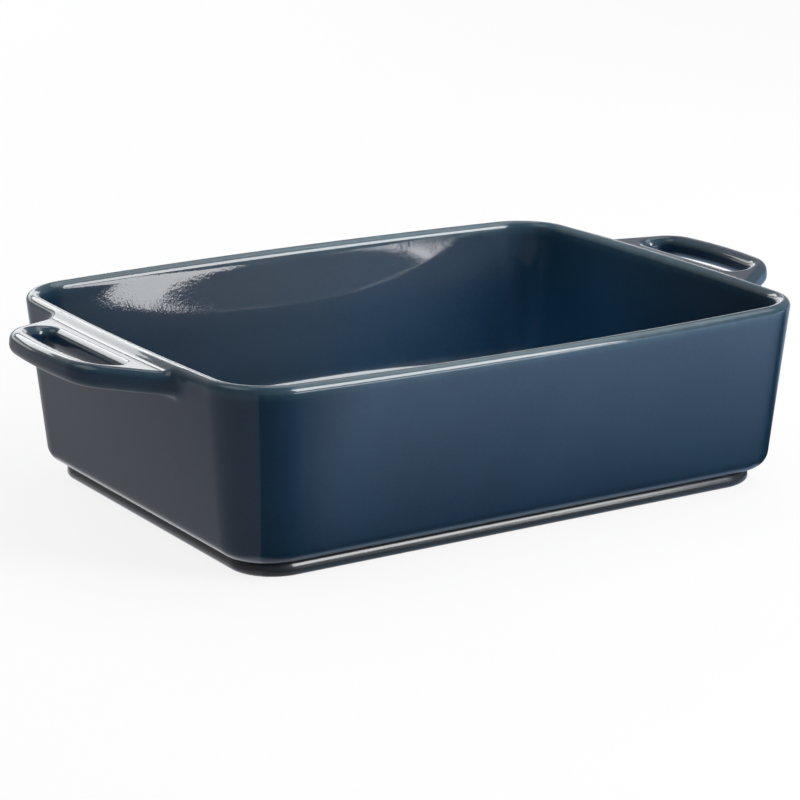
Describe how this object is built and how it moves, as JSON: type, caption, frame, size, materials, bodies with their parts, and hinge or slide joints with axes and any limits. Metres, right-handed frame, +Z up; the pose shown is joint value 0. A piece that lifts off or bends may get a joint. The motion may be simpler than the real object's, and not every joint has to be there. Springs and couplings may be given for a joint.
{
  "type": "lasagna dish",
  "caption": "Deep rectangular ceramic baking dish with bowed, flared walls, a rounded rim, slotted handles at its ends and a low foot ring, in dark petrol-blue glaze.",
  "frame": {"origin": "middle of the footprint, on the surface that the dish stands on", "axes": "+X along the long side towards the right handle, +Y to the back, +Z up out of the mouth"},
  "size_m": [0.3876, 0.242, 0.0908],
  "materials": {
    "glaze": "gloss",
    "foot_glaze": "gloss"
  },
  "bodies": {
    "root": {"basin": "glaze", "foot_ring": "foot_glaze", "left_handle": "glaze", "right_handle": "glaze"}
  },
  "joints": []
}
